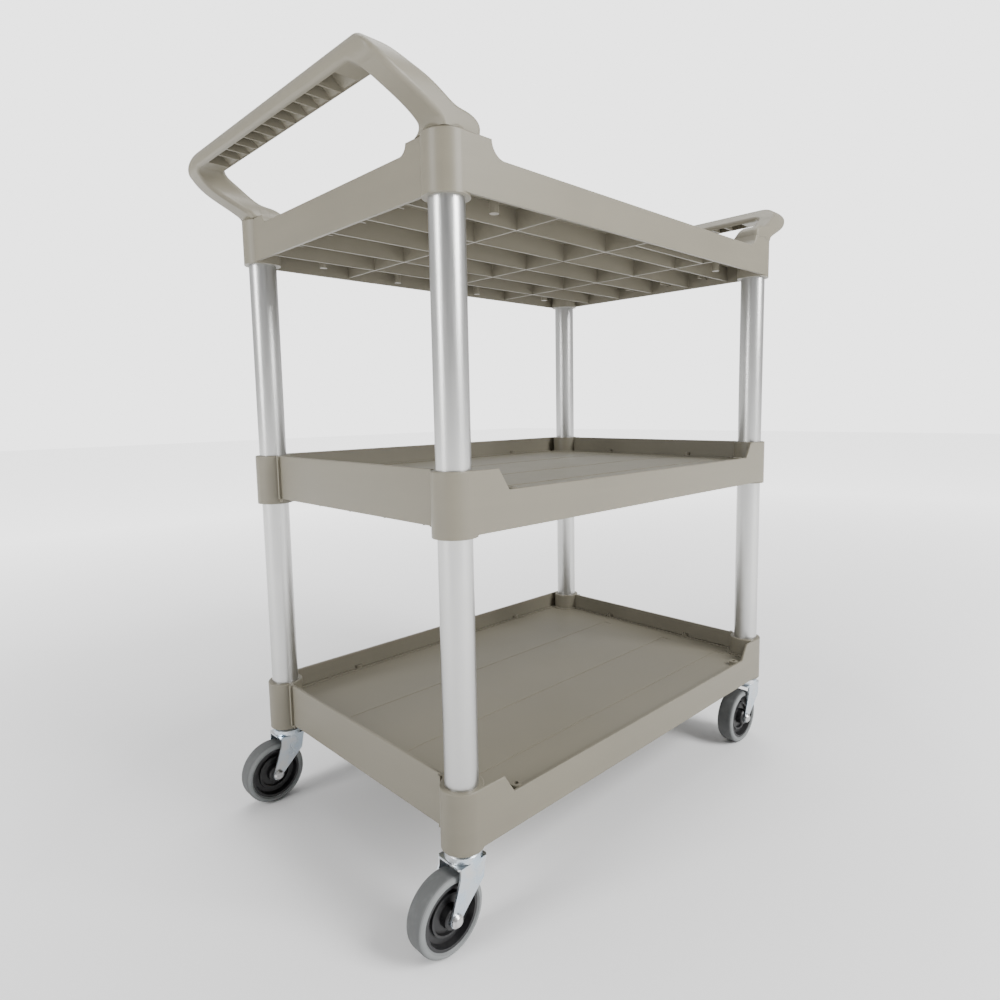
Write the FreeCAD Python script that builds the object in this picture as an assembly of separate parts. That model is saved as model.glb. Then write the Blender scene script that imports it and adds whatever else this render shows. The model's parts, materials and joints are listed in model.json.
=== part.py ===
"""Food service trolley: three moulded tray shelves on round tube uprights, a push handle at each end
and four swivel casters. Origin on the floor at the centre of the footprint, +Z up, +X along the length,
-Y the open side with the low front lips. Millimetres."""
import FreeCAD, Part
import math
import os

from FreeCAD import Vector

# Uprights
POST_X = 332.0
POST_Y = 211.5
TUBE_R = 19.05
TUBE_WALL = 1.6
TUBE_BORE_R = TUBE_R - TUBE_WALL

# Shelves in plan
SLEEVE_R = 25.0
SIDE_Y = POST_Y + SLEEVE_R
END_X = 337.0
TOP_END_X = 350.0
WALL = 4.0
DECK_THICK = 3.2
RIB_THICK = 2.6
LEDGE_WIDE = 6.0
CROSS_RIB_X = (-177.0, 0.0, 177.0)
LONG_RIB_Y = (-156.0, -78.0, 0.0, 78.0, 156.0)

# Lower two shelves, measured from each shelf's own skirt bottom
TRAY_HEIGHT = 68.0
LIP_HEIGHT = 44.0
DECK_HEIGHT = 38.0
LEDGE_HEIGHT = 40.0
END_WALL_RAISE = 5.0
RIB_GAP = 3.0
SLOPE_START = 43.0
SLOPE_END = 58.0
BOTTOM_Z = 115.0
MIDDLE_Z = 463.0
SLEEVE_FOOT_Z = 111.5

# Top shelf
TOP_SKIRT_Z = 808.0
TOP_DECK_Z = 839.0
SIDE_RIM_Z = 849.0
END_RIM_Z = 856.0
BOSS_TOP_Z = 867.0
RIM_WIDE = 11.0
TRAY_RIM_ROUND = 1.4
TOP_RIM_ROUND = 2.0
TUBE_TOP_Z = 852.0
BOSS_INNER_X = 290.0
BOSS_INNER_Y = 168.0

# Handles
SCREW_R = 3.0
BAR_REACH = 440.0
BAR_TOP_Z = 939.0
BAR_UNDER_Z = 916.0
LEG_OUTER_Y = 233.0
LEG_INNER_Y = 202.0
FLARE_R = 27.0
EYE_R = BAR_UNDER_Z - BOSS_TOP_Z - FLARE_R
HANDLE_CORNER_R = 52.0
HANDLE_ROUND = 5.0
FOOT_R = 24.0
FOOT_TOP_R = 14.0
FOOT_HEIGHT = 15.0
GRIP_HALF = 150.0

# Casters
WHEEL_R = 45.0
TYRE_INNER_R = 36.5
TYRE_WIDE = 28.0
TRAIL = 28.0
FORK_GAP = 35.0
SHEET = 2.5
AXLE_R = 4.0
SPACER_R = 6.0
RUNNING_GAP = 0.05
STEM_R = 5.5
PLATE_TOP_Z = 99.5
CUP_R = 21.5
CUP_TOP_Z = 108.5
SOCKET_TOP_Z = 185.0

CORNERS = {
    "front_left": (-POST_X, -POST_Y),
    "front_right": (POST_X, -POST_Y),
    "rear_left": (-POST_X, POST_Y),
    "rear_right": (POST_X, POST_Y),
}
Z_AXIS = Vector(0, 0, 1)
Y_AXIS = Vector(0, 1, 0)


def box(x0, x1, y0, y1, z0, z1):
    """A box between two corners."""
    return Part.makeBox(x1 - x0, y1 - y0, z1 - z0, Vector(x0, y0, z0))


def post(x, y, z0, z1, radius):
    """An upright cylinder from z0 to z1."""
    return Part.makeCylinder(radius, z1 - z0, Vector(x, y, z0), Z_AXIS)


def cross_pin(x, y0, y1, z, radius):
    """A cylinder along Y from y0 to y1."""
    return Part.makeCylinder(radius, y1 - y0, Vector(x, y0, z), Y_AXIS)


def prism_xz(points, y0, y1):
    """A polygon drawn in X and Z, run along Y."""
    wire = Part.makePolygon([Vector(x, y0, z) for x, z in points + points[:1]])
    return Part.Face(wire).extrude(Vector(0, y1 - y0, 0))


def at_corners(make):
    """One solid per corner, kept apart in a compound."""
    return Part.makeCompound([make(x, y) for x, y in CORNERS.values()])


def join(first, others):
    """One solid from a base and whatever touches it."""
    return first.fuse(others).removeSplitter()


def save(name, shape):
    """Write one node after testing it."""
    if not shape.isValid() or not shape.Solids:
        raise RuntimeError(name + " is not a valid solid")
    shape.exportStep("parts/" + name + ".step")


# Shelves

def shelf_plan(half_x, half_y, radius, way, z):
    """A rectangle whose corners go round the posts: outside them (way 1) or inside them (way -1)."""
    side_x = POST_X + way * math.sqrt(radius ** 2 - (half_y - POST_Y) ** 2)
    end_y = POST_Y - math.sqrt(radius ** 2 - (half_x - POST_X) ** 2)
    middle = way * radius * math.sqrt(0.5)
    edges = []
    last = Vector(-side_x, -half_y, z)
    for sign_x, sign_y, long_side_first in ((1, -1, True), (1, 1, False), (-1, 1, True), (-1, -1, False)):
        on_side = Vector(sign_x * side_x, sign_y * half_y, z)
        on_end = Vector(sign_x * half_x, sign_y * end_y, z)
        turn = Vector(sign_x * (POST_X + middle), sign_y * (POST_Y + middle), z)
        first, second = (on_side, on_end) if long_side_first else (on_end, on_side)
        edges.append(Part.LineSegment(last, first).toShape())
        edges.append(Part.Arc(first, turn, second).toShape())
        last = second
    return Part.Face(Part.Wire(edges))


def shelf_prism(half_x, half_y, radius, way, z0, z1):
    """A shelf plan given height."""
    return shelf_plan(half_x, half_y, radius, way, z0).extrude(Vector(0, 0, z1 - z0))


def side_span(value, reach):
    """The low and high ends of a stretch that starts at value and goes inward by reach."""
    inner = value - math.copysign(reach, value)
    return min(value, inner), max(value, inner)


def ribs_and_bosses(end_x, z0, z1):
    """The rib grid, the short end ribs and the screw bosses under a deck."""
    half = RIB_THICK / 2
    inside_x = end_x - WALL / 2
    inside_y = SIDE_Y - WALL / 2
    ribs = [box(x - half, x + half, -inside_y, inside_y, z0, z1) for x in CROSS_RIB_X]
    ribs += [box(-inside_x, inside_x, y - half, y + half, z0, z1) for y in LONG_RIB_Y]
    ribs.append(box(CROSS_RIB_X[1], CROSS_RIB_X[2], -206 - half, -206 + half, z0, z1))
    for end in (-inside_x, inside_x):
        low, high = side_span(end, 32.0)
        ribs += [box(low, high, y - half, y + half, z0 + 8, z1) for y in (-117.0, -39.0, 39.0, 117.0)]
    bosses = [post(x, y, z0, z1, 5.5) for x in (-246.0, 246.0) for y in (-190.0, 190.0)]
    bosses += [post(x, 219.0, z0, z1, 5.5) for x in (-90.0, 90.0)]
    return ribs + bosses


def hollow_underside(shelf, end_x, skirt_z, deck_under_z):
    """Open the underside, leaving the ribs, the bosses and the corner sleeves."""
    space = shelf_prism(end_x - WALL, SIDE_Y - WALL, SLEEVE_R, -1, skirt_z - 5, deck_under_z)
    return shelf.cut(space.cut(ribs_and_bosses(end_x, skirt_z + RIB_GAP, deck_under_z + 1)))


def tray_recess(z0):
    """The space above the deck inside the walls."""
    top = z0 + TRAY_HEIGHT + 1
    deck = z0 + DECK_HEIGHT
    ledge = z0 + LEDGE_HEIGHT
    edge = WALL + LEDGE_WIDE
    upper = shelf_prism(END_X - WALL, SIDE_Y - WALL, SLEEVE_R, -1, ledge, top)
    lower = shelf_prism(END_X - edge, SIDE_Y - edge, SLEEVE_R + LEDGE_WIDE, -1, deck, ledge + 1)
    bands = [box(-298, 298, y - 9, y + 9, deck - 0.6, ledge + 1) for y in (-180.0, -70.0, 70.0)]
    return upper.fuse([lower] + bands)


def front_gap(z0):
    """The sloped-ended gap that leaves the low front lip."""
    start = POST_X - SLOPE_START
    end = POST_X - SLOPE_END
    top = z0 + TRAY_HEIGHT
    lip = z0 + LIP_HEIGHT
    outline = [(-start, top + 1), (-start, top), (-end, lip), (end, lip), (start, top), (start, top + 1)]
    return prism_xz(outline, -SIDE_Y - 1, -SIDE_Y + WALL + 1)


def lip_boss(x, z0):
    """A ring boss beside the front lip."""
    return post(x, -SIDE_Y + WALL + 6.5, z0 + DECK_HEIGHT - DECK_THICK, z0 + LIP_HEIGHT + 0.8, 7.0)


def lip_hole(x, z0):
    """The hole down through a ring boss."""
    return post(x, -SIDE_Y + WALL + 6.5, z0, z0 + LIP_HEIGHT + 2, 3.0)


def wall_bumps(z0):
    """Small half-round bumps where the walls meet the deck."""
    low = z0 + DECK_HEIGHT - 1
    high = z0 + LEDGE_HEIGHT + 5
    bumps = [post(x, SIDE_Y - WALL, low, high, 6.0) for x in (-190.0, 0.0, 190.0)]
    bumps += [post(side * (END_X - WALL), y, low, high, 6.0) for side in (-1, 1) for y in (-90.0, 90.0)]
    inside = box(-END_X + 1, END_X - 1, -SIDE_Y + 1, SIDE_Y - 1, low, high)
    return [bump.common(inside) for bump in bumps]


def corner_strips(z0):
    """The narrow upright strips between each sleeve and its end wall."""
    strips = []
    for end in (-END_X - 3.5, END_X + 3.5):
        low, high = side_span(end, 4.5)
        strips += [box(low, high, y - 2.2, y + 2.2, z0 + END_WALL_RAISE, z0 + TRAY_HEIGHT)
                   for y in (-181.0, 181.0)]
    return strips


def end_wall_relief(z0):
    """What is taken off below each end wall, which stops short of the skirt bottom."""
    relief = []
    for end in (-END_X - 1, END_X + 1):
        low, high = side_span(end, WALL + 2)
        relief.append(box(low, high, -178, 178, z0 - 1, z0 + END_WALL_RAISE))
    return relief


def tube_bores(z0, web_z, z1):
    """Upper and lower tube sockets with a thin web ring between them."""
    bores = []
    for x, y in CORNERS.values():
        bores.append(post(x, y, z0 - 1, web_z - 1.5, TUBE_R))
        bores.append(post(x, y, web_z - 2, web_z + 2, TUBE_BORE_R))
        bores.append(post(x, y, web_z + 1.5, z1 + 1, TUBE_R))
    return bores


def round_tray_rim(body, z0):
    """Round the top edges of the walls, the two slopes and the front lip."""
    rim = [edge for edge in body.Edges if edge.BoundBox.ZMin > z0 + TRAY_HEIGHT - 0.1]
    reach = POST_X - SLOPE_START + 1
    lip = []
    for edge in body.Edges:
        around = edge.BoundBox
        on_front = around.YMax < -SIDE_Y + WALL + 0.1 and around.ZMin > z0 + LIP_HEIGHT - 0.1
        if on_front and around.XMin > -reach and around.XMax < reach:
            lip.append(edge)
    return body.makeFillet(TRAY_RIM_ROUND, rim + lip)


def tray_shelf(z0, foot_z):
    """A lower shelf: deep tray with one low side."""
    body = shelf_prism(END_X, SIDE_Y, SLEEVE_R, 1, z0, z0 + TRAY_HEIGHT)
    body = body.cut(tray_recess(z0)).cut(front_gap(z0))
    body = round_tray_rim(body, z0)
    body = hollow_underside(body, END_X, z0, z0 + DECK_HEIGHT - DECK_THICK)
    body = body.cut(end_wall_relief(z0))
    feet = [post(x, y, foot_z, z0, SLEEVE_R) for x, y in CORNERS.values()]
    body = join(body, feet + corner_strips(z0) + wall_bumps(z0) + [lip_boss(-262.0, z0), lip_boss(262.0, z0)])
    return body.cut([lip_hole(-262.0, z0), lip_hole(262.0, z0)])


def middle_shelf():
    """The middle tray, whose sleeves hold the ends of both tubes."""
    web_z = MIDDLE_Z + TRAY_HEIGHT / 2
    foot_z = MIDDLE_Z - 3.0
    return tray_shelf(MIDDLE_Z, foot_z).cut(tube_bores(foot_z, web_z, MIDDLE_Z + TRAY_HEIGHT))


def bottom_shelf():
    """The bottom tray, whose sleeves carry the caster sockets."""
    bores = [post(x, y, SLEEVE_FOOT_Z - 1, BOTTOM_Z + TRAY_HEIGHT + 1, TUBE_R) for x, y in CORNERS.values()]
    return tray_shelf(BOTTOM_Z, SLEEVE_FOOT_Z).cut(bores)


def hollow_sided_block(inner, rim_z, outer, place, run):
    """A block whose inner side is a quarter-round hollow that ends level with the rim."""
    radius = BOSS_TOP_Z - rim_z
    base = TOP_DECK_Z - 1
    slant = radius * math.sqrt(0.5)
    top_outer = place(outer, BOSS_TOP_Z)
    top_inner = place(inner, BOSS_TOP_Z)
    hollow = place(inner - radius + slant, BOSS_TOP_Z - slant)
    rim = place(inner - radius, rim_z)
    foot_inner = place(inner - radius, base)
    foot_outer = place(outer, base)
    edges = [
        Part.LineSegment(foot_outer, top_outer).toShape(),
        Part.LineSegment(top_outer, top_inner).toShape(),
        Part.Arc(top_inner, hollow, rim).toShape(),
        Part.LineSegment(rim, foot_inner).toShape(),
        Part.LineSegment(foot_inner, foot_outer).toShape(),
    ]
    return Part.Face(Part.Wire(edges)).extrude(run)


def corner_boss(x, y):
    """One raised corner of the top shelf, sweeping down to the rims on both sides."""
    side_x = math.copysign(1, x)
    side_y = math.copysign(1, y)
    reach_x = TOP_END_X + 10
    reach_y = SIDE_Y + 1
    along = hollow_sided_block(BOSS_INNER_X, SIDE_RIM_Z, reach_x,
                               lambda a, z: Vector(side_x * a, 0, z), Vector(0, side_y * reach_y, 0))
    across = hollow_sided_block(BOSS_INNER_Y, END_RIM_Z, reach_y,
                                lambda a, z: Vector(0, side_y * a, z), Vector(side_x * reach_x, 0, 0))
    return along.common(across)


def round_top_rim(body):
    """Round the outer top edges of the top shelf, over the rims, hollows and raised corners."""
    outer = []
    for edge in body.Edges:
        around = edge.BoundBox
        on_side = around.YMin > SIDE_Y - 0.1 or around.YMax < -SIDE_Y + 0.1
        on_end = around.XMin > TOP_END_X - 0.1 or around.XMax < -TOP_END_X + 0.1
        curve = edge.Curve
        on_corner = isinstance(curve, Part.Circle) and abs(curve.Radius - SLEEVE_R) < 0.1
        if (on_side or on_end or on_corner) and around.ZMin > SIDE_RIM_Z - 1:
            outer.append(edge)
    return body.makeFillet(TOP_RIM_ROUND, outer)


def top_shelf():
    """The top tray: shallow recess, raised ends and four raised corners for the handles."""
    body = shelf_prism(TOP_END_X, SIDE_Y, SLEEVE_R, 1, TOP_SKIRT_Z, SIDE_RIM_Z)
    inside_x = TOP_END_X - RIM_WIDE
    inside_y = SIDE_Y - RIM_WIDE
    body = body.cut(box(-inside_x, inside_x, -inside_y, inside_y, TOP_DECK_Z, SIDE_RIM_Z + 1))
    body = hollow_underside(body, TOP_END_X, TOP_SKIRT_Z, TOP_DECK_Z - DECK_THICK)
    outline = shelf_prism(TOP_END_X, SIDE_Y, SLEEVE_R, 1, TOP_DECK_Z - 2, BOSS_TOP_Z)
    end_rims = [box(min(side * inside_x, side * 360), max(side * inside_x, side * 360), -200, 200,
                    SIDE_RIM_Z - 2, END_RIM_Z) for side in (-1, 1)]
    raised = [block.common(outline) for block in end_rims]
    raised += [corner_boss(x, y).common(outline) for x, y in CORNERS.values()]
    foot_z = TOP_SKIRT_Z - 2
    feet = [post(x, y, foot_z, TOP_SKIRT_Z, SLEEVE_R) for x, y in CORNERS.values()]
    body = round_top_rim(join(body, raised)).fuse(feet)
    bores = []
    for x, y in CORNERS.values():
        bores.append(post(x, y, foot_z - 1, TUBE_TOP_Z, TUBE_R))
        bores.append(post(x, y, TUBE_TOP_Z - 1, BOSS_TOP_Z + 1, SCREW_R))
    return body.cut(bores)


# Handles

# The handle seen from the long side, as distance out from the middle and height above the corner bosses
LEG_UPPER = ((302, 0), (304, 14), (316, 20), (331, 22.5), (348, 31), (366, 42), (385, 52), (400, 64), (413, 72))
BAR_OUTER = ((413, 72), (423, 69), (427, 60), (426, 50), (419, 42))
LEG_LOWER = ((419, 42), (397, 27), (376, 17), (360, 9), (353, 4), (351, 0))


def spline(points, place):
    """A smooth edge through points."""
    curve = Part.BSplineCurve()
    curve.interpolate([place(a, b) for a, b in points])
    return curve.toShape()


def handle_side_profile(side):
    """The swept S shape of the legs and the rounded section of the bar."""
    def place(out, height):
        return Vector(side * out, -LEG_OUTER_Y, BOSS_TOP_Z + height)
    edges = [spline(LEG_UPPER, place), spline(BAR_OUTER, place), spline(LEG_LOWER, place)]
    edges.append(Part.LineSegment(place(*LEG_LOWER[-1]), place(*LEG_UPPER[0])).toShape())
    return Part.Face(Part.Wire(edges)).extrude(Vector(0, 2 * LEG_OUTER_Y, 0))


def handle_end_profile():
    """The arch of the legs and bar seen from the end, run along X through both handles' reach."""
    shoulder_z = BAR_TOP_Z - HANDLE_CORNER_R
    shoulder_y = LEG_OUTER_Y - HANDLE_CORNER_R
    eye_z = BAR_UNDER_Z - EYE_R
    eye_y = LEG_INNER_Y - EYE_R
    foot_y = LEG_INNER_Y - FLARE_R
    flare_z = BOSS_TOP_Z + FLARE_R
    diagonal = math.sqrt(0.5)

    def at(y, z):
        return Vector(-BAR_REACH, y, z)

    def line(y0, z0, y1, z1):
        return Part.LineSegment(at(y0, z0), at(y1, z1)).toShape()

    def quarter(side, centre_y, centre_z, radius, y_way, z_way):
        start = at(side * (centre_y + y_way * radius), centre_z)
        middle = at(side * (centre_y + y_way * radius * diagonal), centre_z + z_way * radius * diagonal)
        end = at(side * centre_y, centre_z + z_way * radius)
        return Part.Arc(start, middle, end).toShape()

    edges = [line(-shoulder_y, BAR_TOP_Z, shoulder_y, BAR_TOP_Z), line(-eye_y, BAR_UNDER_Z, eye_y, BAR_UNDER_Z)]
    for side in (-1, 1):
        edges.append(line(side * LEG_OUTER_Y, BOSS_TOP_Z, side * LEG_OUTER_Y, shoulder_z))
        edges.append(quarter(side, shoulder_y, shoulder_z, HANDLE_CORNER_R, 1, 1))
        edges.append(quarter(side, eye_y, eye_z, EYE_R, 1, 1))
        edges.append(quarter(side, foot_y, flare_z, FLARE_R, 1, -1))
        edges.append(line(side * foot_y, BOSS_TOP_Z, side * LEG_OUTER_Y, BOSS_TOP_Z))
    wire = Part.Wire(Part.__sortEdges__(edges))
    return Part.Face(wire).extrude(Vector(2 * BAR_REACH, 0, 0))


def grip_channel(side):
    """The ribbed hollow under the grip."""
    section = ((393, 40), (394, 52), (406, 63), (419, 65), (422, 58), (421, 40))
    points = [(side * out, BOSS_TOP_Z + height) for out, height in section]
    channel = prism_xz(points, -GRIP_HALF - 8, GRIP_HALF + 8)
    ribs = [box(-BAR_REACH, BAR_REACH, y - 1.3, y + 1.3, BAR_UNDER_Z - 10, BAR_TOP_Z)
            for y in range(-125, 126, 25)]
    return channel.cut(ribs)


def handle(side):
    """One push handle: two legs flowing into a bar along Y."""
    body = handle_side_profile(side).common(handle_end_profile())
    above_foot = [edge for edge in body.Edges if edge.BoundBox.ZMax > BOSS_TOP_Z + 0.1]
    body = body.makeFillet(HANDLE_ROUND, above_foot)
    bores = [post(side * POST_X, y, BOSS_TOP_Z - 1, BOSS_TOP_Z + 16, SCREW_R) for y in (-POST_Y, POST_Y)]
    feet = [Part.makeCone(FOOT_R, FOOT_TOP_R, FOOT_HEIGHT, Vector(side * POST_X, y, BOSS_TOP_Z))
            for y in (-POST_Y, POST_Y)]
    return body.fuse(feet).cut([grip_channel(side)] + bores)


def handle_screw(x, y):
    """A screw up through a tube plug and a corner boss into a handle leg."""
    shank = post(x, y, TUBE_TOP_Z - 31, BOSS_TOP_Z + 15, SCREW_R)
    return shank.fuse(post(x, y, TUBE_TOP_Z - 35, TUBE_TOP_Z - 30, 6.0))


def tube_plug(x, y):
    """The plug in the top of an upright that the handle screw pulls against."""
    return post(x, y, TUBE_TOP_Z - 30, TUBE_TOP_Z, TUBE_BORE_R).cut(
        post(x, y, TUBE_TOP_Z - 31, TUBE_TOP_Z + 1, SCREW_R))


# Uprights

def upright(x, y, z0, z1):
    """One length of tube."""
    return post(x, y, z0, z1, TUBE_R).cut(post(x, y, z0 - 1, z1 + 1, TUBE_BORE_R))


def joining_dowel(x, y):
    """The hollow dowel that lines up the two tubes inside the middle shelf."""
    middle = MIDDLE_Z + TRAY_HEIGHT / 2
    return post(x, y, middle - 30, middle + 30, TUBE_BORE_R).cut(
        post(x, y, middle - 31, middle + 31, TUBE_BORE_R - 3))


def caster_socket(x, y):
    """The insert in the foot of an upright that grips the caster stem."""
    body = post(x, y, SLEEVE_FOOT_Z, SLEEVE_FOOT_Z + 2, TUBE_R)
    body = join(body, [post(x, y, SLEEVE_FOOT_Z + 2, SOCKET_TOP_Z, TUBE_BORE_R)])
    return body.cut(post(x, y, SLEEVE_FOOT_Z - 1, SOCKET_TOP_Z - 2, STEM_R))


# Casters

def turned_upright(outline, x, y):
    """A turned part about a vertical axis, from radius and height pairs."""
    wire = Part.makePolygon([Vector(x + r, y, z) for r, z in outline + outline[:1]])
    return Part.Face(wire).revolve(Vector(x, y, 0), Z_AXIS, 360)


def turned_wheel(outline, x, y):
    """A turned part about a caster's axle, from radius and sideways distance pairs."""
    wire = Part.makePolygon([Vector(x - TRAIL + r, y + a, WHEEL_R) for r, a in outline + outline[:1]])
    return Part.Face(wire).revolve(Vector(x - TRAIL, y, WHEEL_R), Y_AXIS, 360)


def caster_stem(x, y):
    """The fixed half of the swivel: riveted foot, stem, raceway cup and shoulder."""
    under_z = PLATE_TOP_Z - SHEET - 0.3
    over_z = PLATE_TOP_Z + 0.5
    outline = [
        (0, under_z - 3.5), (7.5, under_z - 3.5), (9, under_z - 2), (9, under_z),
        (STEM_R, under_z), (STEM_R, over_z), (9, over_z), (9, CUP_TOP_Z - 2.5),
        (CUP_R - 1.7, CUP_TOP_Z - 2.5), (CUP_R - 1.7, over_z), (CUP_R, over_z), (CUP_R, CUP_TOP_Z - 1.8),
        (CUP_R - 1.8, CUP_TOP_Z), (10, CUP_TOP_Z), (10, SLEEVE_FOOT_Z), (STEM_R, SLEEVE_FOOT_Z),
        (STEM_R, SOCKET_TOP_Z - 4), (STEM_R - 1, SOCKET_TOP_Z - 2.5), (0, SOCKET_TOP_Z - 2.5),
    ]
    return turned_upright(outline, x, y)


def caster_balls(x, y):
    """The ring of balls that the fork turns on."""
    ball_r = 2.2
    ring_r = 14.0
    count = 12
    balls = []
    for step in range(count):
        angle = 2 * math.pi * step / count
        centre = Vector(x + ring_r * math.cos(angle), y + ring_r * math.sin(angle), PLATE_TOP_Z + ball_r)
        balls.append(Part.makeSphere(ball_r, centre))
    return Part.makeCompound(balls)


def fork(x, y):
    """The folded sheet fork: a top plate and two tapering legs that trail the swivel axis."""
    half = FORK_GAP / 2
    plate = box(x - 22, x + 19, y - half - SHEET, y + half + SHEET, PLATE_TOP_Z - SHEET, PLATE_TOP_Z)
    plate = plate.common(post(x - 1.5, y, PLATE_TOP_Z - SHEET, PLATE_TOP_Z, 26.5))
    outline = [
        (x - 20, PLATE_TOP_Z), (x - 21, PLATE_TOP_Z - 12), (x - TRAIL - 8, WHEEL_R),
        (x - TRAIL + 8, WHEEL_R), (x + 12, PLATE_TOP_Z - 24), (x + 16, PLATE_TOP_Z),
    ]
    legs = []
    for inner in (y - half - SHEET, y + half):
        legs.append(prism_xz(outline, inner, inner + SHEET))
        legs.append(cross_pin(x - TRAIL, inner, inner + SHEET, WHEEL_R, 8.0))
    body = join(plate, legs)
    body = body.cut(post(x, y, PLATE_TOP_Z - SHEET - 1, PLATE_TOP_Z + 1, STEM_R + RUNNING_GAP))
    return body.cut(cross_pin(x - TRAIL, y - half - SHEET - 1, y + half + SHEET + 1, WHEEL_R, AXLE_R))


def axle_bolt(x, y):
    """The axle bolt with its round head on the low side of Y."""
    face = y - FORK_GAP / 2 - SHEET
    body = cross_pin(x - TRAIL, face, y + FORK_GAP / 2 + SHEET + 4.3, WHEEL_R, AXLE_R)
    head = cross_pin(x - TRAIL, face - 1.8, face, WHEEL_R, 7.5)
    dome = Part.makeCone(7.5, 5.0, 2.4, Vector(x - TRAIL, face - 1.8, WHEEL_R), Vector(0, -1, 0))
    return join(body, [head, dome])


def axle_nut(x, y):
    """The hexagon nut on the other end of the axle bolt."""
    face = y + FORK_GAP / 2 + SHEET
    points = [(x - TRAIL + 7.5 * math.cos(math.radians(a)), WHEEL_R + 7.5 * math.sin(math.radians(a)))
              for a in range(0, 360, 60)]
    return prism_xz(points, face, face + 4.3).cut(cross_pin(x - TRAIL, face - 1, face + 5, WHEEL_R, AXLE_R))


def axle_spacer(x, y):
    """The tube between the fork legs that the wheel turns on."""
    half = FORK_GAP / 2
    return cross_pin(x - TRAIL, y - half, y + half, WHEEL_R, SPACER_R).cut(
        cross_pin(x - TRAIL, y - half - 1, y + half + 1, WHEEL_R, AXLE_R))


def wheel_core(x, y):
    """The hub: bore, dished web with a raised ring, and rim."""
    bore = SPACER_R + RUNNING_GAP
    outline = [
        (bore, -16.8), (11, -16.8), (12.5, -15), (13, -6), (21, -4.5), (21.6, -7.5), (24, -7.5), (24.6, -4),
        (31, -4.5), (33, -12), (TYRE_INNER_R, -12),
        (TYRE_INNER_R, 12), (33, 12), (31, 4.5), (24.6, 4), (24, 7.5), (21.6, 7.5), (21, 4.5), (13, 6),
        (12.5, 15), (11, 16.8), (bore, 16.8),
    ]
    return turned_wheel(outline, x, y)


def tyre(x, y):
    """The tyre, with a soft round shoulder worked out from a quarter circle."""
    half = TYRE_WIDE / 2
    round_r = 6.0
    shoulder = [(WHEEL_R - round_r + round_r * math.sin(math.radians(a)),
                 half - round_r + round_r * math.cos(math.radians(a))) for a in range(0, 91, 15)]
    upper = [(TYRE_INNER_R, 12.0), (TYRE_INNER_R + 2.0, half)] + shoulder
    lower = [(r, -a) for r, a in reversed(upper)]
    return turned_wheel(upper + lower, x, y)


CASTER_PIECES = {
    "caster_stem": caster_stem,
    "caster_balls": caster_balls,
    "fork": fork,
    "axle_bolt": axle_bolt,
    "axle_nut": axle_nut,
    "axle_spacer": axle_spacer,
    "wheel_core": wheel_core,
    "tyre": tyre,
}


def main():
    """Build and write every node."""
    os.makedirs("parts", exist_ok=True)
    web_z = MIDDLE_Z + TRAY_HEIGHT / 2
    save("top_shelf", top_shelf())
    save("middle_shelf", middle_shelf())
    save("bottom_shelf", bottom_shelf())
    save("handle_left", handle(-1))
    save("handle_right", handle(1))
    save("handle_screws", at_corners(handle_screw))
    save("tube_plugs", at_corners(tube_plug))
    save("joining_dowels", at_corners(joining_dowel))
    save("caster_sockets", at_corners(caster_socket))
    for name, (x, y) in CORNERS.items():
        save("upper_upright_" + name, upright(x, y, web_z + 1.5, TUBE_TOP_Z))
        save("lower_upright_" + name, upright(x, y, SLEEVE_FOOT_Z + 2, web_z - 1.5))
        for piece, make in CASTER_PIECES.items():
            save(piece + "_" + name, make(x, y))


main()
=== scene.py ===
"""Looks for the food service trolley: moulded tray shelves, tube uprights, push handles and casters.

Laid out as an add-on and run as a script. Every size is in metres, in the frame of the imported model.
"""
import json
import math

import bpy
from bpy.props import FloatProperty, FloatVectorProperty, PointerProperty
from mathutils import Matrix, Vector

bl_info = {
    "name": "Food service trolley",
    "version": (1, 0, 0),
    "blender": (4, 5, 0),
    "location": "View3D > Sidebar > Trolley",
    "description": "Finishes the trolley's shelves, handles, uprights and casters and sets the studio",
    "category": "Object",
}

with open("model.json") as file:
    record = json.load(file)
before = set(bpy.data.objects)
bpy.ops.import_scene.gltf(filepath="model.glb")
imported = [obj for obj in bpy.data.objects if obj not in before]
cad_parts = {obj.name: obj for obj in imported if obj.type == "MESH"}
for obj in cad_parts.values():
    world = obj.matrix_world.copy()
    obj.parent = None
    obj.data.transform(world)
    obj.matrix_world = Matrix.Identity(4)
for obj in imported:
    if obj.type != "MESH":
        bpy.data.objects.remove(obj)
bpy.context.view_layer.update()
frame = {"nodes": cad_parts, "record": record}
FLOOR_HALF = 14.0
GLOW_START = 0.6
GLOW_FULL = 3.2
GLOW_STRENGTH = 2.0
SEEN_WHITE = 3.0
DIM_SIDE = 0.28
BRIGHT_SIDE = 0.85
AIM = (0.0, 0.0, 0.5)
LIGHTS = (
    ("key_light", (0.9, -3.2, 2.4), (1.5, 2.6), 230.0),
    ("end_light", (-3.4, 0.4, 1.8), (1.0, 2.4), 95.0),
    ("top_light", (0.4, 0.6, 3.6), (2.4, 2.4), 70.0),
)


# Properties

class TrolleyPlastic(bpy.types.PropertyGroup):
    """The moulded plastic of the shelves and handles."""
    colour: FloatVectorProperty(
        name="Plastic", description="Warm platinum grey of the mouldings",
        default=(0.165, 0.151, 0.114), subtype="COLOR", size=3, min=0.0, max=1.0)
    sheen_roughness: FloatProperty(
        name="Roughness", description="How matt the moulded skin is",
        default=0.43, subtype="FACTOR", min=0.05, max=1.0)
    grain_depth: FloatProperty(
        name="Grain depth", description="Height of the fine moulded grain",
        default=0.00005, unit="LENGTH", precision=6, min=0.0, max=0.001)
    grain_size: FloatProperty(
        name="Grain count", description="Grain cells per metre",
        default=1500.0, min=50.0, max=6000.0)


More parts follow.
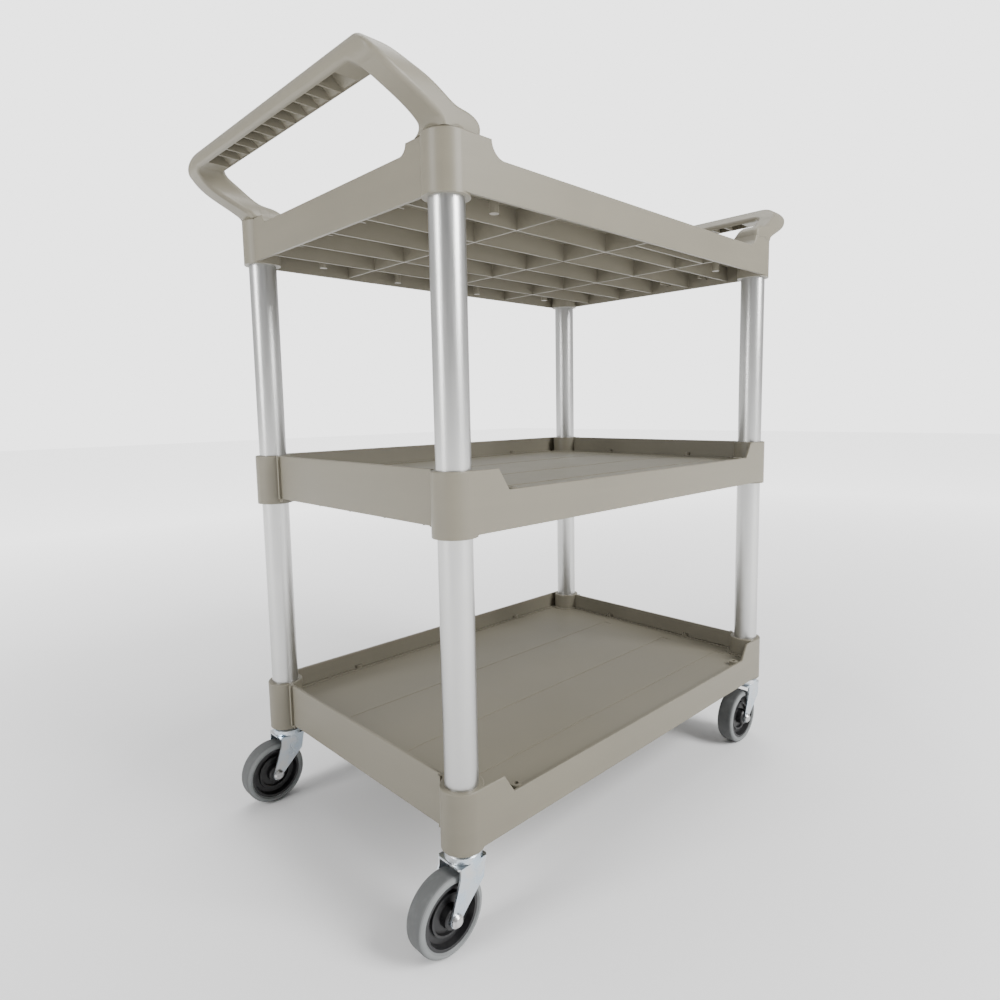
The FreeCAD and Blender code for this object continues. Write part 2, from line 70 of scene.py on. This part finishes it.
class TrolleyMetal(bpy.types.PropertyGroup):
    """Tube, fork and bolt finishes."""
    tube_colour: FloatVectorProperty(
        name="Tube", description="Satin anodised tube",
        default=(0.50, 0.50, 0.49), subtype="COLOR", size=3, min=0.0, max=1.0)
    zinc_colour: FloatVectorProperty(
        name="Zinc", description="Bluish zinc plate on the forks",
        default=(0.62, 0.67, 0.71), subtype="COLOR", size=3, min=0.0, max=1.0)
    bolt_colour: FloatVectorProperty(
        name="Bolts", description="Axle bolts, nuts and spacers",
        default=(0.55, 0.55, 0.55), subtype="COLOR", size=3, min=0.0, max=1.0)
    tube_roughness: FloatProperty(
        name="Tube roughness", description="Width of the tube's soft highlight",
        default=0.33, subtype="FACTOR", min=0.05, max=1.0)


class TrolleyRubber(bpy.types.PropertyGroup):
    """Wheel and tyre finishes."""
    tread_colour: FloatVectorProperty(
        name="Tread", description="Grey tyre tread",
        default=(0.085, 0.088, 0.088), subtype="COLOR", size=3, min=0.0, max=1.0)
    # Paler colour given to the faces that point along the wheel's axis (the side walls); the tread keeps the
    # darker colour.
    side_colour: FloatVectorProperty(
        name="Side wall", description="Paler rubbed side of the tyre",
        default=(0.21, 0.22, 0.22), subtype="COLOR", size=3, min=0.0, max=1.0)
    hub_colour: FloatVectorProperty(
        name="Hub", description="Black moulded hub",
        default=(0.012, 0.012, 0.013), subtype="COLOR", size=3, min=0.0, max=1.0)


class TrolleyView(bpy.types.PropertyGroup):
    """Where the camera stands and how it looks."""
    place: FloatVectorProperty(
        name="Place", description="Camera position",
        default=(-0.7821, -0.7593, 0.594), subtype="TRANSLATION", size=3)
    turn: FloatProperty(
        name="Turn", description="Camera azimuth",
        default=math.radians(-44.38), subtype="ANGLE")
    drop: FloatProperty(
        name="Drop", description="How far the camera looks down",
        default=math.radians(6.23), subtype="ANGLE")
    roll: FloatProperty(
        name="Roll", description="Camera roll",
        default=math.radians(-0.963), subtype="ANGLE")
    lens: FloatProperty(
        name="Lens", description="Focal length in millimetres",
        default=24.26, subtype="DISTANCE_CAMERA", min=8.0, max=200.0)
    shift: FloatVectorProperty(
        name="Shift", description="Lens shift",
        default=(-0.0121, -0.0176), size=2)
    floor_colour: FloatVectorProperty(
        name="Floor", description="Pale studio floor",
        default=(0.86, 0.86, 0.865), subtype="COLOR", size=3, min=0.0, max=1.0)


class TrolleySettings(bpy.types.PropertyGroup):
    """Everything a user would change."""
    plastic: PointerProperty(type=TrolleyPlastic)
    metal: PointerProperty(type=TrolleyMetal)
    rubber: PointerProperty(type=TrolleyRubber)
    view: PointerProperty(type=TrolleyView)


# Shared shader effects

def new_group(name, inputs, outputs):
    """A shader node group with named sockets. Returns the group, its input node and its output node."""
    group = bpy.data.node_groups.new(name, "ShaderNodeTree")
    for label, kind, value in inputs:
        socket = group.interface.new_socket(label, in_out="INPUT", socket_type=kind)
        socket.default_value = value
    for label, kind in outputs:
        group.interface.new_socket(label, in_out="OUTPUT", socket_type=kind)
    return group, group.nodes.new("NodeGroupInput"), group.nodes.new("NodeGroupOutput")


def add_node(tree, kind, settings=None, **values):
    """A node with its properties and unlinked inputs set."""
    node = tree.nodes.new(kind)
    for key, value in (settings or {}).items():
        setattr(node, key, value)
    for key, value in values.items():
        node.inputs[key.replace("_", " ")].default_value = value
    return node


def math_node(tree, operation, first, second=None, clamp=False):
    """A math node fed by sockets or numbers. Returns its output."""
    node = tree.nodes.new("ShaderNodeMath")
    node.operation = operation
    node.use_clamp = clamp
    for index, value in enumerate((first, second)):
        if value is None:
            continue
        if isinstance(value, (int, float)):
            node.inputs[index].default_value = value
        else:
            tree.links.new(value, node.inputs[index])
    return node.outputs[0]


def mix_colours(tree, mask, first, second):
    """Blend two colours by a mask. Each may be a socket or a colour."""
    node = tree.nodes.new("ShaderNodeMix")
    node.data_type = "RGBA"
    tree.links.new(mask, node.inputs["Factor"])
    for socket, value in ((node.inputs[6], first), (node.inputs[7], second)):
        if isinstance(value, bpy.types.NodeSocket):
            tree.links.new(value, socket)
        else:
            socket.default_value = (*value, 1.0)
    return node.outputs[2]


def noise(tree, vector, scale, detail=3.0, roughness=0.55):
    """A noise texture's value over a vector."""
    node = add_node(tree, "ShaderNodeTexNoise", None, Detail=detail, Roughness=roughness)
    if isinstance(scale, (int, float)):
        node.inputs["Scale"].default_value = scale
    else:
        tree.links.new(scale, node.inputs["Scale"])
    tree.links.new(vector, node.inputs["Vector"])
    return node.outputs[0]


def stretched(tree, factors):
    """Object coordinates scaled by a factor along each axis."""
    coords = tree.nodes.new("ShaderNodeTexCoord")
    mapping = add_node(tree, "ShaderNodeMapping", None, Scale=factors)
    tree.links.new(coords.outputs["Object"], mapping.inputs["Vector"])
    return mapping.outputs[0]


def spread(tree, value, low, high, out_low, out_high):
    """Map a value's range onto another, held at both ends."""
    node = add_node(tree, "ShaderNodeMapRange", {"clamp": True})
    tree.links.new(value, node.inputs[0])
    for index, number in enumerate((low, high, out_low, out_high), start=1):
        node.inputs[index].default_value = number
    return node.outputs[0]


def moulded_skin_group():
    """Fine spark grain, slow mottling and faint flow streaks of an injection moulding."""
    group, inside, outside = new_group(
        "moulded_skin",
        [("Grain", "NodeSocketFloat", 1500.0), ("Mottle", "NodeSocketFloat", 9.0)],
        [("Height", "NodeSocketFloat"), ("Mottling", "NodeSocketFloat"), ("Flow", "NodeSocketFloat")])
    coords = group.nodes.new("ShaderNodeTexCoord").outputs["Object"]
    fine = noise(group, coords, inside.outputs["Grain"], 2.0, 0.6)
    coarse_scale = math_node(group, "MULTIPLY", inside.outputs["Grain"], 0.22)
    coarse = noise(group, coords, coarse_scale, 2.0, 0.5)
    height = math_node(group, "ADD", fine, math_node(group, "MULTIPLY", coarse, 0.6))
    mottling = noise(group, coords, inside.outputs["Mottle"], 4.0, 0.6)
    flow = noise(group, stretched(group, (3.0, 3.0, 40.0)), 1.6, 3.0, 0.5)
    group.links.new(height, outside.inputs["Height"])
    group.links.new(mottling, outside.inputs["Mottling"])
    group.links.new(flow, outside.inputs["Flow"])
    return group


def edge_wear_group():
    """A mask of rubbed outside edges, broken up by noise."""
    group, inside, outside = new_group(
        "edge_wear",
        [("Radius", "NodeSocketFloat", 0.0015), ("Break up", "NodeSocketFloat", 60.0)],
        [("Mask", "NodeSocketFloat")])
    bevel = add_node(group, "ShaderNodeBevel", {"samples": 4})
    group.links.new(inside.outputs["Radius"], bevel.inputs["Radius"])
    face = group.nodes.new("ShaderNodeNewGeometry")
    dot = group.nodes.new("ShaderNodeVectorMath")
    dot.operation = "DOT_PRODUCT"
    group.links.new(bevel.outputs[0], dot.inputs[0])
    group.links.new(face.outputs["Normal"], dot.inputs[1])
    edge = spread(group, dot.outputs["Value"], 0.995, 0.80, 0.0, 1.0)
    coords = group.nodes.new("ShaderNodeTexCoord").outputs["Object"]
    rough = spread(group, noise(group, coords, inside.outputs["Break up"], 4.0, 0.6), 0.35, 0.62, 0.25, 1.0)
    group.links.new(math_node(group, "MULTIPLY", edge, rough), outside.inputs["Mask"])
    return group


def drawn_metal_group():
    """Fine lines along Z and a slow cloudiness, for tube and plate."""
    group, inside, outside = new_group(
        "drawn_metal",
        [("Lines", "NodeSocketFloat", 900.0), ("Cloud", "NodeSocketFloat", 14.0)],
        [("Height", "NodeSocketFloat"), ("Cloudiness", "NodeSocketFloat")])
    lines = noise(group, stretched(group, (1.0, 1.0, 0.012)), inside.outputs["Lines"], 3.0, 0.6)
    coords = group.nodes.new("ShaderNodeTexCoord").outputs["Object"]
    cloud = noise(group, coords, inside.outputs["Cloud"], 4.0, 0.55)
    group.links.new(lines, outside.inputs["Height"])
    group.links.new(cloud, outside.inputs["Cloudiness"])
    return group


def place_group(tree, name, **values):
    """A shared effect placed in a material with its own values."""
    node = tree.nodes.new("ShaderNodeGroup")
    node.node_tree = bpy.data.node_groups[name]
    for key, value in values.items():
        node.inputs[key.replace("_", " ")].default_value = value
    return node.outputs


# Materials

def new_material(name, roughness, metallic=0.0, specular=0.5):
    """An empty material and its main shader."""
    material = bpy.data.materials.new(name)
    material.use_nodes = True
    shader = material.node_tree.nodes["Principled BSDF"]
    shader.inputs["Roughness"].default_value = roughness
    shader.inputs["Metallic"].default_value = metallic
    shader.inputs["Specular IOR Level"].default_value = specular
    return material, material.node_tree, shader


def bump_from(tree, shader, height, distance, strength=1.0):
    """Feed a height into the shader's normal."""
    node = add_node(tree, "ShaderNodeBump", None, Strength=strength, Distance=distance)
    tree.links.new(height, node.inputs["Height"])
    tree.links.new(node.outputs[0], shader.inputs["Normal"])


def shaded(colour, factor):
    """A colour made lighter or darker."""
    return tuple(min(1.0, part * factor) for part in colour)


def plastic_material(settings):
    """Platinum grey moulded plastic: spark grain, flow marks and rubbed edges."""
    material, tree, shader = new_material("platinum_plastic", settings.sheen_roughness, specular=0.42)
    skin = place_group(tree, "moulded_skin", Grain=settings.grain_size, Mottle=7.0)
    wear = place_group(tree, "edge_wear", Radius=0.0012, Break_up=45.0)
    mottled = mix_colours(tree, spread(tree, skin["Mottling"], 0.3, 0.7, 0.0, 1.0),
                          shaded(settings.colour, 0.955), shaded(settings.colour, 1.04))
    flowed = mix_colours(tree, spread(tree, skin["Flow"], 0.45, 0.75, 0.0, 0.35),
                         mottled, shaded(settings.colour, 1.10))
    worn = mix_colours(tree, math_node(tree, "MULTIPLY", wear["Mask"], 0.35),
                       flowed, shaded(settings.colour, 1.28))
    tree.links.new(worn, shader.inputs["Base Color"])
    rough = spread(tree, skin["Mottling"], 0.25, 0.75,
                   settings.sheen_roughness - 0.05, settings.sheen_roughness + 0.07)
    tree.links.new(math_node(tree, "SUBTRACT", rough, math_node(tree, "MULTIPLY", wear["Mask"], 0.08)),
                   shader.inputs["Roughness"])
    bump_from(tree, shader, skin["Height"], settings.grain_depth)
    return material


def tube_material(settings):
    """Satin anodised aluminium with drawing lines along the tube."""
    material, tree, shader = new_material("upright_aluminium", settings.tube_roughness, metallic=1.0)
    metal = place_group(tree, "drawn_metal", Lines=1400.0, Cloud=10.0)
    tint = mix_colours(tree, spread(tree, metal["Cloudiness"], 0.3, 0.7, 0.0, 1.0),
                       shaded(settings.tube_colour, 0.96), shaded(settings.tube_colour, 1.03))
    tree.links.new(tint, shader.inputs["Base Color"])
    rough = spread(tree, metal["Height"], 0.3, 0.7,
                   settings.tube_roughness - 0.05, settings.tube_roughness + 0.07)
    tree.links.new(rough, shader.inputs["Roughness"])
    bump_from(tree, shader, metal["Height"], 0.00004)
    return material


def zinc_material(settings):
    """Bright zinc plate with a blue cast, soft spangle and worn edges."""
    material, tree, shader = new_material("fork_zinc", 0.28, metallic=1.0)
    metal = place_group(tree, "drawn_metal", Lines=260.0, Cloud=55.0)
    wear = place_group(tree, "edge_wear", Radius=0.0008, Break_up=160.0)
    warm = (settings.zinc_colour[0] * 1.08, settings.zinc_colour[1] * 1.02, settings.zinc_colour[2] * 0.97)
    cool = (settings.zinc_colour[0] * 0.90, settings.zinc_colour[1] * 0.98, settings.zinc_colour[2] * 1.06)
    spangle = mix_colours(tree, spread(tree, metal["Cloudiness"], 0.35, 0.65, 0.0, 1.0), cool, warm)
    worn = mix_colours(tree, math_node(tree, "MULTIPLY", wear["Mask"], 0.6), spangle, (0.82, 0.84, 0.86))
    tree.links.new(worn, shader.inputs["Base Color"])
    tree.links.new(spread(tree, metal["Cloudiness"], 0.3, 0.7, 0.20, 0.38), shader.inputs["Roughness"])
    bump_from(tree, shader, metal["Cloudiness"], 0.00012)
    return material


def bolt_material(name, colour, roughness):
    """Plain steel hardware with handling marks."""
    material, tree, shader = new_material(name, roughness, metallic=1.0)
    metal = place_group(tree, "drawn_metal", Lines=500.0, Cloud=180.0)
    tint = mix_colours(tree, spread(tree, metal["Cloudiness"], 0.3, 0.7, 0.0, 1.0),
                       shaded(colour, 0.85), shaded(colour, 1.12))
    tree.links.new(tint, shader.inputs["Base Color"])
    tree.links.new(spread(tree, metal["Cloudiness"], 0.3, 0.7, roughness * 0.8, roughness * 1.3),
                   shader.inputs["Roughness"])
    bump_from(tree, shader, metal["Cloudiness"], 0.00006)
    return material


def black_plastic_material(name, colour, roughness):
    """Black moulded plastic with a fine grain and dust in its skin."""
    material, tree, shader = new_material(name, roughness)
    skin = place_group(tree, "moulded_skin", Grain=1900.0, Mottle=40.0)
    dusty = mix_colours(tree, spread(tree, skin["Mottling"], 0.45, 0.8, 0.0, 0.25),
                        colour, (0.08, 0.078, 0.072))
    tree.links.new(dusty, shader.inputs["Base Color"])
    tree.links.new(spread(tree, skin["Mottling"], 0.3, 0.7, roughness - 0.06, roughness + 0.12),
                   shader.inputs["Roughness"])
    bump_from(tree, shader, skin["Height"], 0.00004)
    return material


def tyre_material(settings):
    """Grey rubber: a darker tread and paler side walls, picked by which way the surface faces in the wheel's
    own frame.
    """
    material, tree, shader = new_material("grey_tyre", 0.62, specular=0.35)
    coords = tree.nodes.new("ShaderNodeTexCoord")
    split = tree.nodes.new("ShaderNodeSeparateXYZ")
    tree.links.new(coords.outputs["Normal"], split.inputs[0])
    # Faces pointing along the wheel's axis take the paler side colour and faces pointing outward take the
    # darker tread colour.
    side = spread(tree, math_node(tree, "ABSOLUTE", split.outputs["Y"]), 0.35, 0.85, 0.0, 1.0)
    skin = place_group(tree, "moulded_skin", Grain=1300.0, Mottle=60.0)
    base = mix_colours(tree, side, settings.tread_colour, settings.side_colour)
    scuffed = mix_colours(tree, spread(tree, skin["Mottling"], 0.5, 0.8, 0.0, 0.5),
                          base, shaded(settings.side_colour, 0.75))
    tree.links.new(scuffed, shader.inputs["Base Color"])
    tree.links.new(spread(tree, skin["Mottling"], 0.3, 0.7, 0.52, 0.72), shader.inputs["Roughness"])
    bump_from(tree, shader, skin["Height"], 0.00008)
    return material


def nodes_in_slot(slot):
    """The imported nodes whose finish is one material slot."""
    parts = frame["record"]["subparts"]
    return [frame["nodes"][part["node"]] for part in parts if part["material_slot"] == slot]


def dress(objects, material):
    """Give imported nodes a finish."""
    for item in objects:
        item.data.materials.clear()
        item.data.materials.append(material)


def settings_of(context):
    """The trolley's settings."""
    return context.scene.trolley


# Operators

class TROLLEY_OT_effects(bpy.types.Operator):
    """Build the shared surface effects"""
    bl_idname = "trolley.effects"
    bl_label = "Surface effects"

    def execute(self, context):
        moulded_skin_group()
        edge_wear_group()
        drawn_metal_group()
        return {"FINISHED"}


class TROLLEY_OT_mouldings(bpy.types.Operator):
    """Finish the shelves and handles in moulded plastic"""
    bl_idname = "trolley.mouldings"
    bl_label = "Shelves and handles"

    def execute(self, context):
        dress(nodes_in_slot("platinum_plastic"), plastic_material(settings_of(context).plastic))
        return {"FINISHED"}


class TROLLEY_OT_uprights(bpy.types.Operator):
    """Finish the tube uprights and the inserts inside them"""
    bl_idname = "trolley.uprights"
    bl_label = "Uprights"

    def execute(self, context):
        settings = settings_of(context)
        dress(nodes_in_slot("upright_aluminium"), tube_material(settings.metal))
        dress(nodes_in_slot("insert_plastic"),
              black_plastic_material("insert_plastic", settings.rubber.hub_colour, 0.5))
        return {"FINISHED"}


class TROLLEY_OT_casters(bpy.types.Operator):
    """Finish the forks, bolts, hubs and tyres"""
    bl_idname = "trolley.casters"
    bl_label = "Casters"

    def execute(self, context):
        settings = settings_of(context)
        dress(nodes_in_slot("fork_zinc"), zinc_material(settings.metal))
        dress(nodes_in_slot("bolt_steel"), bolt_material("bolt_steel", settings.metal.bolt_colour, 0.33))
        dress(nodes_in_slot("ball_steel"), bolt_material("ball_steel", settings.metal.tube_colour, 0.12))
        dress(nodes_in_slot("hub_plastic"),
              black_plastic_material("hub_plastic", settings.rubber.hub_colour, 0.36))
        dress(nodes_in_slot("grey_tyre"), tyre_material(settings.rubber))
        return {"FINISHED"}


def soft_light(name, place, target, size, power):
    """A rectangular studio light aimed at a point."""
    data = bpy.data.lights.new(name, "AREA")
    data.shape = "RECTANGLE"
    data.size, data.size_y = size
    data.energy = power
    lamp = bpy.data.objects.new(name, data)
    bpy.context.scene.collection.objects.link(lamp)
    lamp.location = place
    lamp.rotation_mode = "QUATERNION"
    lamp.rotation_quaternion = (Vector(target) - Vector(place)).to_track_quat("-Z", "Y")
    return lamp


def studio_floor(colour):
    """A plain pale floor with a very faint unevenness, glowing softly far out so that it has no hard end."""
    half = FLOOR_HALF
    data = bpy.data.meshes.new("studio_floor")
    corners = [(-half, -half, 0), (half, -half, 0), (half, half, 0), (-half, half, 0)]
    data.from_pydata(corners, [], [(0, 1, 2, 3)])
    floor = bpy.data.objects.new("studio_floor", data)
    bpy.context.scene.collection.objects.link(floor)
    material, tree, shader = new_material("studio_floor", 0.65, specular=0.25)
    coords = tree.nodes.new("ShaderNodeTexCoord").outputs["Object"]
    tint = mix_colours(tree, noise(tree, coords, 2.0, 2.0, 0.5), shaded(colour, 0.995), colour)
    tree.links.new(tint, shader.inputs["Base Color"])
    away = tree.nodes.new("ShaderNodeVectorMath")
    away.operation = "LENGTH"
    tree.links.new(stretched(tree, (0.8, 1.0, 1.0)), away.inputs[0])
    shader.inputs["Emission Color"].default_value = (1.0, 1.0, 1.0, 1.0)
    glow = spread(tree, away.outputs["Value"], GLOW_START, GLOW_FULL, 0.0, GLOW_STRENGTH)
    tree.links.new(glow, shader.inputs["Emission Strength"])
    data.materials.append(material)


def studio_world(seen, dim, bright):
    """White surroundings to look at, dim on the near side and bright behind for the light they give."""
    world = bpy.data.worlds.new("studio_world")
    world.use_nodes = True
    tree = world.node_tree
    across = tree.nodes.new("ShaderNodeVectorMath")
    across.operation = "DOT_PRODUCT"
    across.inputs[1].default_value = (0.5, 0.8, 0.3)
    tree.links.new(tree.nodes.new("ShaderNodeTexCoord").outputs["Generated"], across.inputs[0])
    choice = tree.nodes.new("ShaderNodeMix")
    tree.links.new(tree.nodes.new("ShaderNodeLightPath").outputs["Is Camera Ray"], choice.inputs[0])
    tree.links.new(spread(tree, across.outputs["Value"], -0.6, 0.7, dim, bright), choice.inputs[2])
    choice.inputs[3].default_value = seen
    sky = tree.nodes["Background"]
    sky.inputs["Color"].default_value = (1.0, 1.0, 1.0, 1.0)
    tree.links.new(choice.outputs[0], sky.inputs["Strength"])
    bpy.context.scene.world = world


def studio_camera(view):
    """The camera, from its azimuth, drop and roll."""
    back = Vector((math.sin(view.turn) * math.cos(view.drop), -math.cos(view.turn) * math.cos(view.drop),
                   math.sin(view.drop)))
    level = Vector((math.cos(view.turn), math.sin(view.turn), 0.0))
    upward = back.cross(level)
    right = level * math.cos(view.roll) + upward * math.sin(view.roll)
    up = upward * math.cos(view.roll) - level * math.sin(view.roll)
    data = bpy.data.cameras.new("studio_camera")
    data.sensor_width = 36.0
    data.lens = view.lens
    data.shift_x, data.shift_y = view.shift
    data.clip_start = 0.02
    camera = bpy.data.objects.new("studio_camera", data)
    bpy.context.scene.collection.objects.link(camera)
    pose = Matrix((right, up, back)).transposed().to_4x4()
    camera.matrix_world = Matrix.Translation(view.place) @ pose
    bpy.context.scene.camera = camera


class TROLLEY_OT_studio(bpy.types.Operator):
    """Set the floor, the lights and the camera"""
    bl_idname = "trolley.studio"
    bl_label = "Studio"

    def execute(self, context):
        view = settings_of(context).view
        studio_world(SEEN_WHITE, DIM_SIDE, BRIGHT_SIDE)
        studio_floor(view.floor_colour)
        for name, place, size, power in LIGHTS:
            soft_light(name, place, AIM, size, power)
        studio_camera(view)
        return {"FINISHED"}


STEPS = (TROLLEY_OT_effects, TROLLEY_OT_mouldings, TROLLEY_OT_uprights, TROLLEY_OT_casters, TROLLEY_OT_studio)


class TROLLEY_PT_panel(bpy.types.Panel):
    """The trolley's steps in order"""
    bl_idname = "TROLLEY_PT_panel"
    bl_label = "Food service trolley"
    bl_space_type = "VIEW_3D"
    bl_region_type = "UI"
    bl_category = "Trolley"

    def draw(self, context):
        settings = settings_of(context)
        for group in (settings.plastic, settings.metal, settings.rubber, settings.view):
            box = self.layout.box()
            for key in group.__annotations__:
                box.prop(group, key)
        for step in STEPS:
            self.layout.operator(step.bl_idname)


GROUPS = (TrolleyPlastic, TrolleyMetal, TrolleyRubber, TrolleyView, TrolleySettings)
CLASSES = (*GROUPS, *STEPS, TROLLEY_PT_panel)


def register():
    """Add the classes and the scene's settings."""
    for item in CLASSES:
        bpy.utils.register_class(item)
    bpy.types.Scene.trolley = PointerProperty(type=TrolleySettings)


def unregister():
    """Take them away again."""
    del bpy.types.Scene.trolley
    for item in reversed(CLASSES):
        bpy.utils.unregister_class(item)


def main():
    """Run every step in order."""
    register()
    for step in STEPS:
        group, name = step.bl_idname.split(".")
        getattr(getattr(bpy.ops, group), name)()


if __name__ == "__main__":
    main()
